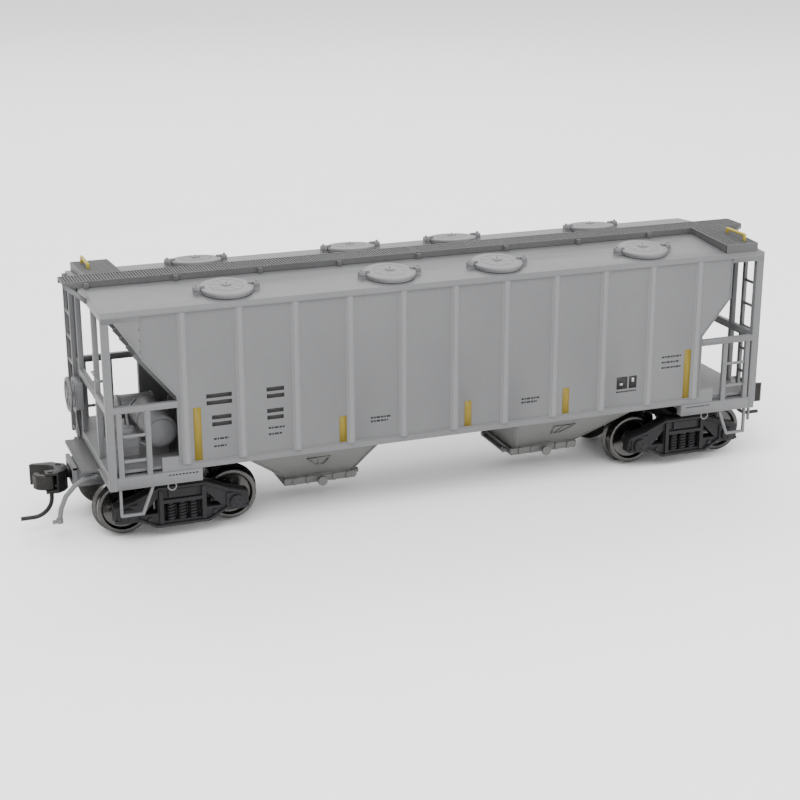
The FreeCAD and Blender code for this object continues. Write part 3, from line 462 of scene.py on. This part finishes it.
BAR = 0.75
for sy in SIDES:
    # pairs of plain bars where the reporting marks would be
    for a, b, upper, lower in ((-48.1, -43.4, 26.6, 25.3), (-36.9, -33.6, 26.6, 25.3),
                               (-47.2, -43.6, 22.5, 21.2), (-36.9, -33.8, 22.5, 21.2)):
        p, q = seen(sy, a, b)
        for z in (upper, lower):
            patch("ink_black", p, q, z, z + BAR, sy)
    # rows of dashes in place of the data lines
    for a, b, rows in ((-47.0, -44.2, (18.6, 17.2)), (-36.7, -33.7, (19.4, 18.2)),
                       (-16.9, -13.0, (18.9, 18.2)), (14.0, 17.8, (18.9, 18.2)),
                       (44.5, 48.8, (24.0, 22.9, 21.8))):
        p, q = seen(sy, a, b)
        for k, z in enumerate(rows):
            dashes(p, q - 0.5 * (k % 2), z, 0.34, (0.5, 0.32, 0.72), 0.16, sy)
    # two black panels with pale specks and a line of dashes under them
    p, q = seen(sy, 34.6, 39.0)
    patch("ink_black", p, (p + q) / 2 + 0.15, 18.6, 21.1, sy)
    patch("ink_black", (p + q) / 2 + 0.5, q, 18.6, 21.1, sy)
    dashes(p, q, 17.9, 0.3, (0.45, 0.3), 0.15, sy)
    for a, b, z, h in ((35.3, 35.9, 19.4, 0.4), (37.9, 38.4, 19.9, 0.8)):
        p, q = seen(sy, a, b)
        patch("label_white", p, q, z, z + h, sy, 0.035)
    # small print on the side sill over each truck
    for sx in SIDES:
        x, end_x = sorted((sx * 50.4, sx * 55.6))
        while x < end_x:
            marks["ink_black"].box((x, x + 0.42), (sy * 17.3, sy * 17.32), (12.9, 13.14))
            x += 0.62
for kind, shape in marks.items():
    slot_name = "grab_yellow" if kind == "stripe_yellow" else "body_grey"
    shape.make(f"side_{kind}", kind, "car_body", slot_name, bevel=0)

# pale faces on the side ribs: a lighter copy of the body paint, which is a painted highlight where the ribs
# catch the light
ribs = Shape()
for sy in SIDES:
    for i in range(-5, 6):
        x = i * RIB_PITCH
        ribs.hull(*[[(x - half, sy * y, 14.75), (x + half, sy * y, 14.75),
                     (x + half, sy * y, 42.95), (x - half, sy * y, 42.95)]
                    for half, y in ((0.85, 16.98), (0.42, 17.385))])
ribs.make("rib_faces", "rib_painted_highlight", "car_body", "body_grey", bevel=0.02)

# ------------------------------------------------------------------ body trim: weld beads, seams, rivets
trim = Shape()
for sy in SIDES:
    trim.wire([(-53.3, sy * 17.02, 14.95), (53.3, sy * 17.02, 14.95)], 0.12, 6)
    for sx in SIDES:
        trim.wire([(sx * x, sy * SIDE, z) for x, z in
                   ((53.35, 14.8), (53.35, 27.6), (59.35, 35.0), (59.35, 42.8))], 0.16, 6)
for sx in SIDES:
    # stiffeners under the sloping end sheets, and two upright webs at their foot
    for y in (-12.0, -6.0, 0.0, 6.0, 12.0):
        trim.hull(*[[(sx * x0, y - 0.3, z0), (sx * x0, y + 0.3, z0), (sx * x1, y + 0.3, z1),
                     (sx * x1, y - 0.3, z1)]
                    for x0, z0, x1, z1 in ((44.5, 16.75, 45.3, 16.3), (59.2, 34.85, 60.0, 34.3))])
    for y in (-4.2, 4.2):
        trim.slab([(sx * x, z) for x, z in ((43.9, 14.6), (50.5, 14.6), (50.5, 21.0), (48.2, 21.2))],
                  (y - 0.25, y + 0.25))
    # bolts on the corners of the body and on the end crossbar
    for y in (-16.4, 16.4):
        for z in (36.4, 38.4, 40.4):
            trim.disc("x", (outward(sx, 59.38, 0.25), y, z), 0.2, 0.25, 10)
    for y in (-8, 8):
        for z in (25.95, 26.75):
            trim.disc("x", (outward(sx, 66.28, 0.2), y + 0.9, z), 0.16, 0.2, 8)
for sx, sy in QUARTERS:
    # small hanging ring under the side sill, then bolt heads on the sill and the posts
    trim.ring("y", (sx * 55.0, sy * 16.9, 10.75), 0.75, 0.14, 24)
    for x in (50.6, 52.0, 54.6, 56.8, 60.4):
        trim.disc("y", (sx * x, outward(sy, SILL_FACE, 0.1), 11.75), 0.14, 0.1, 8)
    for x in (58.9, 64.0):
        for z in (24.9, 21.2, 16.5, 14.2):
            trim.disc("y", (sx * x, outward(sy, SILL_FACE, 0.1), z), 0.2, 0.1, 8)
trim.make("body_trim", "body_grey", "car_body", "body_grey", bevel=0.03)

# ------------------------------------------------------------------ bays and gates
bays = Shape()
BAY_MIDDLE = 23.8
BAY_TOP = {"x": (13.4, 42.3), "y": 16.0, "z": 14.6}
BAY_OUTLET = {"x": (17.2, 30.4), "y": 6.5, "z": 5.0}


def bay_point(sx, x, t, sy, out=0.0):
    """Point on a bay's sloping side: x runs outwards along the wagon from 0 to 1, t down to the outlet."""
    top, low = ((part["x"][0] + (part["x"][1] - part["x"][0]) * x, part["y"], part["z"])
                for part in (BAY_TOP, BAY_OUTLET))
    return (sx * (top[0] + (low[0] - top[0]) * t), sy * (top[1] + (low[1] - top[1]) * t + out),
            top[2] + (low[2] - top[2]) * t)


for sx, sy in QUARTERS:
    for x in (0.02, 0.98):
        bays.wire([bay_point(sx, x, 0.06, sy), bay_point(sx, x, 0.98, sy)], 0.22, 6)
    bays.wire([bay_point(sx, 0.0, 0.97, sy, 0.1), bay_point(sx, 1.0, 0.97, sy, 0.1)], 0.28, 6)
    bays.wire([bay_point(sx, 0.02, 0.12, sy), bay_point(sx, 0.98, 0.12, sy)], 0.16, 6)
    # raised bracket on the sloping side
    bays.wire([bay_point(sx, x, t, sy, 0.2)
               for x, t in ((0.38, 0.40), (0.58, 0.40), (0.53, 0.62), (0.43, 0.62))], 0.2, 6, closed=True)
    bays.wire([bay_point(sx, 0.48, 0.42, sy, 0.15), bay_point(sx, 0.48, 0.64, sy, 0.15)], 0.22, 6)
bays.make("bay_trim", "bay_grey", "car_body", "bay_grey", bevel=0)

gates = Shape()
for sx in SIDES:
    cx = sx * BAY_MIDDLE
    for sy in SIDES:
        gates.box((sx * 16.4, sx * 31.1), (sy * 6.9, sy * 7.35), (4.25, 5.25))
        gates.disc("y", (cx, outward(sy, 8.3, 0.5), 4.4), 0.95, 0.5, 16)
        for dx in (-5.4, -2.7, 2.7, 5.4):
            gates.box((cx + dx - 0.25, cx + dx + 0.25), (sy * 6.6, sy * 7.6), (3.9, 5.3))
        gates.disc("x", (sx * 16.4 - (0.9 if sx > 0 else 0), sy * 5.2, 4.5), 0.55, 0.9, 14)
    gates.box((sx * 15.6, sx * 16.6), (-5.0, 5.0), (3.95, 4.35))
gates.make("gate_fittings", "bay_grey", "car_body", "bay_grey", bevel=0.05)

# ------------------------------------------------------------------ end fittings
HOSE_Y = 6.8
ends = Shape()
for sx in SIDES:
    # handhold across the end on the side away from the ladder, and two along the end sill
    y0, y1 = (9.4, 15.2) if sx > 0 else (-15.2, -9.4)
    ends.wire([(sx * x, y, 31.5) for x, y in
               ((END_FACE, y0), (66.95, y0), (66.95, y1), (END_FACE, y1))], 0.16, 6)
    for sy in SIDES:
        ends.wire([(sx * x, sy * y, 13.4) for x, y in
                   ((END_FACE, 10.6), (66.9, 10.6), (66.9, 15.0), (END_FACE, 15.0))], 0.16, 6)
    # striker round the coupler shank
    for y in (-3.75, 3.75):
        ends.box((sx * 69.8, sx * 70.5), (y - 0.3, y + 0.3), (8.2, 11.7))
    ends.box((sx * 69.8, sx * 70.5), (-4.05, 4.05), (11.3, 11.8))
    # step board brackets
    for y in (-7.0, 0.0, 7.0):
        ends.slab([(sx * END_FACE, 12.2), (sx * 69.4, 12.2), (sx * END_FACE, 11.4)], (y - 0.25, y + 0.25))
    # angle cock at the top of the air hose and the coupling at its end
    y = sx * HOSE_Y
    ends.disc("x", (outward(sx, 66.9, 0.8), y, 10.88), 0.62, 0.8, 14)
    ends.disc("y", (sx * 67.0, y - 0.8, 11.2), 0.28, 1.6, 12)
    ends.disc("z", (sx * 74.0, y, 2.5), 0.62, 0.9, 14)
    ends.box((sx * 74.0, sx * 75.3), (y - 0.22, y + 0.22), (2.5, 3.1))
ends.make("end_fittings", "body_grey", "car_body", "body_grey", bevel=0.04)

WHEEL_Y, WHEEL_Z = 7.0, 22.5
CYLINDER_Y, CYLINDER_Z = 8.4, 18.4
gear = Shape()
# brake wheel spokes and hub, gearbox cover and the rod down to the deck
for k in range(6):
    a = math.pi * k / 3 + 0.4
    gear.wire([(-68.7, WHEEL_Y, WHEEL_Z),
               (-68.75, WHEEL_Y + 3.0 * math.cos(a), WHEEL_Z + 3.0 * math.sin(a))], 0.16, 6)
gear.disc("x", (-69.1, WHEEL_Y, WHEEL_Z), 0.55, 0.5, 16)
gear.box((-67.95, -67.6), (5.2, 8.8), (20.4, 24.6))
gear.wire([(-67.0, 9.3, 20.0), (-67.0, 9.9, 17.0), (-66.6, 9.9, 12.9)], 0.2, 8)
# pipes between the valve, the reservoir and the cylinder
gear.wire([(-60.9, -9.2, 20.6), (-60.9, -8.0, 22.2), (-59.2, -4.0, 22.8), (-57.5, 0.0, 22.4)], 0.22, 8)
gear.wire([(-62.0, -10.6, 18.4), (-63.4, -11.5, 18.4), (-63.4, -12.4, 15.2), (-58.5, -12.8, 15.0)],
          0.22, 8)
gear.wire([(-59.6, -10.8, 17.8), (-58.4, -11.6, 17.4)], 0.26, 8)
gear.wire([(-59.0, 8.4, 18.4), (-61.5, 8.4, 18.4), (-62.6, 7.0, 18.4), (-62.6, 3.0, 18.2)], 0.28, 8)
gear.wire([(-63.4, 2.0, 15.0), (-63.4, 2.0, 18.9), (-63.4, 4.6, 18.9)], 0.3, 8)
# reservoir straps, valve ribs and ports, cylinder flanges
for y in (-11.6, -5.2, 1.2):
    gear.ring("y", (-55.5, y, 19.6), 2.93, 0.14, 40)
for z in (15.5, 17.0, 18.4):
    gear.box((-62.75, -59.45), (-11.5, -7.5), (z, z + 0.3))
for y, z in ((-8.6, 16.2), (-10.4, 17.8)):
    gear.disc("x", (-63.2, y, z), 0.7, 0.7, 14)
for x, thick in ((-59.6, 0.5), (-52.9, 0.35)):
    gear.disc("x", (x, CYLINDER_Y, CYLINDER_Z), 2.45, thick, 28)
gear.make("brake_details", "body_grey", "car_body", "body_grey", bevel=0.04)

# ------------------------------------------------------------------ trucks
FRAME_FACE = 13.4
TOP_CHORD = [(-12.5, 6.55), (-9.0, 7.55), (-4.4, 9.5), (4.4, 9.5), (9.0, 7.55), (12.5, 6.55)]
LOW_CHORD = [(-12.5, 3.5), (-8.2, 3.5), (-5.0, 1.7), (5.0, 1.7), (8.2, 3.5), (12.5, 3.5)]
for end, sx in ENDS.items():
    cx = sx * TRUCK_X
    detail = Shape()
    springs = Shape()
    for sy in SIDES:
        face = sy * FRAME_FACE
        # raised rims along the top and bottom chords
        for chord, drop in ((TOP_CHORD, -0.55), (LOW_CHORD, 0.5)):
            for (u0, v0), (u1, v1) in zip(chord, chord[1:]):
                detail.slab([(cx + u0, v0), (cx + u1, v1), (cx + u1, v1 + drop), (cx + u0, v0 + drop)],
                            (face, sy * 13.85))
        for u in SIDES:
            wx = cx + u * AXLE_OFFSET
            # bearing housing, end cap and its bolts
            detail.box((wx - 1.9, wx + 1.9), (face, sy * 13.75), (3.3, 6.7))
            detail.disc("y", (wx, outward(sy, 13.7, 0.55), AXLE_Z), 1.35, 0.55, 24)
            for k in range(3):
                a = 2 * math.pi * k / 3 + 0.5
                detail.disc("y", (wx + 0.75 * math.cos(a), outward(sy, 14.1, 0.35),
                                  AXLE_Z + 0.75 * math.sin(a)), 0.22, 0.35, 8)
            # column beside the spring nest, and a bolt in the corner under it
            detail.box((cx + u * 3.6, cx + u * 4.4), (face, sy * 13.9), (2.4, 8.9))
            detail.disc("y", (cx + u * 6.1, outward(sy, FRAME_FACE, 0.3), 3.4), 0.45, 0.3, 12)
            # brake shoe inboard of the frame, and the hanger block between the wheels
            detail.box((cx + u * 4.7, cx + u * 5.6), (sy * 7.4, sy * 9.8), (3.4, 7.0))
            detail.box((cx + u * 3.0, cx + u * 5.6), (sy * 4.0, sy * 6.8), (5.0, 8.3), taper=0.35)
            detail.disc("y", (cx + u * 4.3, outward(sy, 6.8, 0.4), 6.6), 0.7, 0.4, 12)
        # bolster end and the rim above it
        detail.box((cx - 3.7, cx + 3.7), (sy * 12.4, sy * 13.95), (6.3, 7.0))
        detail.box((cx - 2.6, cx + 2.6), (sy * 12.0, sy * 13.8), (7.3, 8.9))
        for k in (-1, 0, 1):
            springs.coil(cx + k * 2.1, sy * 12.9, 2.75, 6.3, 0.72, 0.2, 6)
    # brake beams
    for u in SIDES:
        detail.wire([(cx + u * 5.1, -9.0, 4.2), (cx + u * 5.1, 9.0, 4.2)], 0.4)
    for kind, shape, bevel in (("details", detail, 0.06), ("springs", springs, 0)):
        shape.make(f"truck_{kind}_{end}", "truck_black", f"truck_{end}", "truck_black", bevel=bevel)

# ------------------------------------------------------------------ couplers
for end, sx in ENDS.items():
    head = Shape()
    head.coil(sx * 72.5, -sx * 0.9, 10.9, 11.05, 0.45, 0.1, 1.5)
    head.box((sx * 71.6, sx * 73.0), (sx * 1.3, sx * 2.2), (7.4, 10.3))
    head.disc("z", (sx * 74.5, sx * 2.4, 10.95), 0.5, 0.2, 16)
    head.box((sx * 74.2, sx * 77.0), (-sx * 3.35, -sx * 3.0), (8.1, 9.6))
    head.make(f"coupler_trim_{end}", "coupler_metal", f"coupler_body_{end}", "coupler_metal",
              bevel=0.06)

# ------------------------------------------------------------------ stage, light and camera
FLOOR = 6
floor_mesh = bpy.data.meshes.new("floor")
floor_mesh.from_pydata([(-FLOOR, -FLOOR, 0), (FLOOR, -FLOOR, 0), (FLOOR, FLOOR, 0), (-FLOOR, FLOOR, 0)],
                       [], [(0, 1, 2, 3)])
floor = bpy.data.objects.new("floor", floor_mesh)
bpy.context.collection.objects.link(floor)
floor_mesh.materials.append(shade("floor_pale", (0.90, 0.90, 0.90), (0.94, 0.94, 0.94), (0.6, 0.7),
                                  patch=2.0, grain=40.0, bump=0.0))

world = bpy.data.worlds.new("studio")
bpy.context.scene.world = world
world.use_nodes = True
sky = world.node_tree.nodes["Background"]
sky.inputs["Color"].default_value = (1.0, 1.0, 1.0, 1.0)
sky.inputs["Strength"].default_value = 1.55


def lamp(name, spot, target, size, power):
    """Soft rectangular light that faces a target."""
    data = bpy.data.lights.new(name, "AREA")
    data.shape = "RECTANGLE"
    data.size = size[0]
    data.size_y = size[1]
    data.energy = power
    obj = bpy.data.objects.new(name, data)
    bpy.context.collection.objects.link(obj)
    obj.location = spot
    obj.rotation_euler = (Vector(target) - Vector(spot)).to_track_quat("-Z", "Y").to_euler()


lamp("key", (-0.25, -0.45, 0.70), (0, 0, 0.02), (0.7, 0.5), 8.2)
lamp("fill", (0.65, -0.40, 0.30), (0, 0, 0.02), (0.6, 0.5), 3.2)
lamp("back", (0.1, 0.55, 0.60), (0, 0, 0.03), (0.8, 0.4), 4.2)

# pinhole camera at the photograph's viewpoint: focal length in pixels, place in millimetres, angles
FOCAL = 1641.25
SPOT = (-114.72, -289.65, 119.21)
YAW, PITCH, ROLL = -0.36325, 0.31994, -0.00138
SENSOR = 36.0
PICTURE = 800.0
cam_data = bpy.data.cameras.new("view")
cam_data.sensor_width = SENSOR
cam_data.lens = FOCAL * SENSOR / PICTURE
cam_data.clip_start = 0.01
cam_data.clip_end = 20.0
camera = bpy.data.objects.new("view", cam_data)
bpy.context.collection.objects.link(camera)
ahead = Vector((-math.sin(YAW) * math.cos(PITCH), math.cos(YAW) * math.cos(PITCH), -math.sin(PITCH)))
right = Vector((math.cos(YAW), math.sin(YAW), 0))
up = right.cross(ahead)
right, up = (math.cos(ROLL) * right + math.sin(ROLL) * up, math.cos(ROLL) * up - math.sin(ROLL) * right)
turn = Matrix((right, up, -ahead)).transposed()
camera.matrix_world = Matrix.Translation(Vector(SPOT) * MM) @ turn.to_4x4()
bpy.context.scene.camera = camera
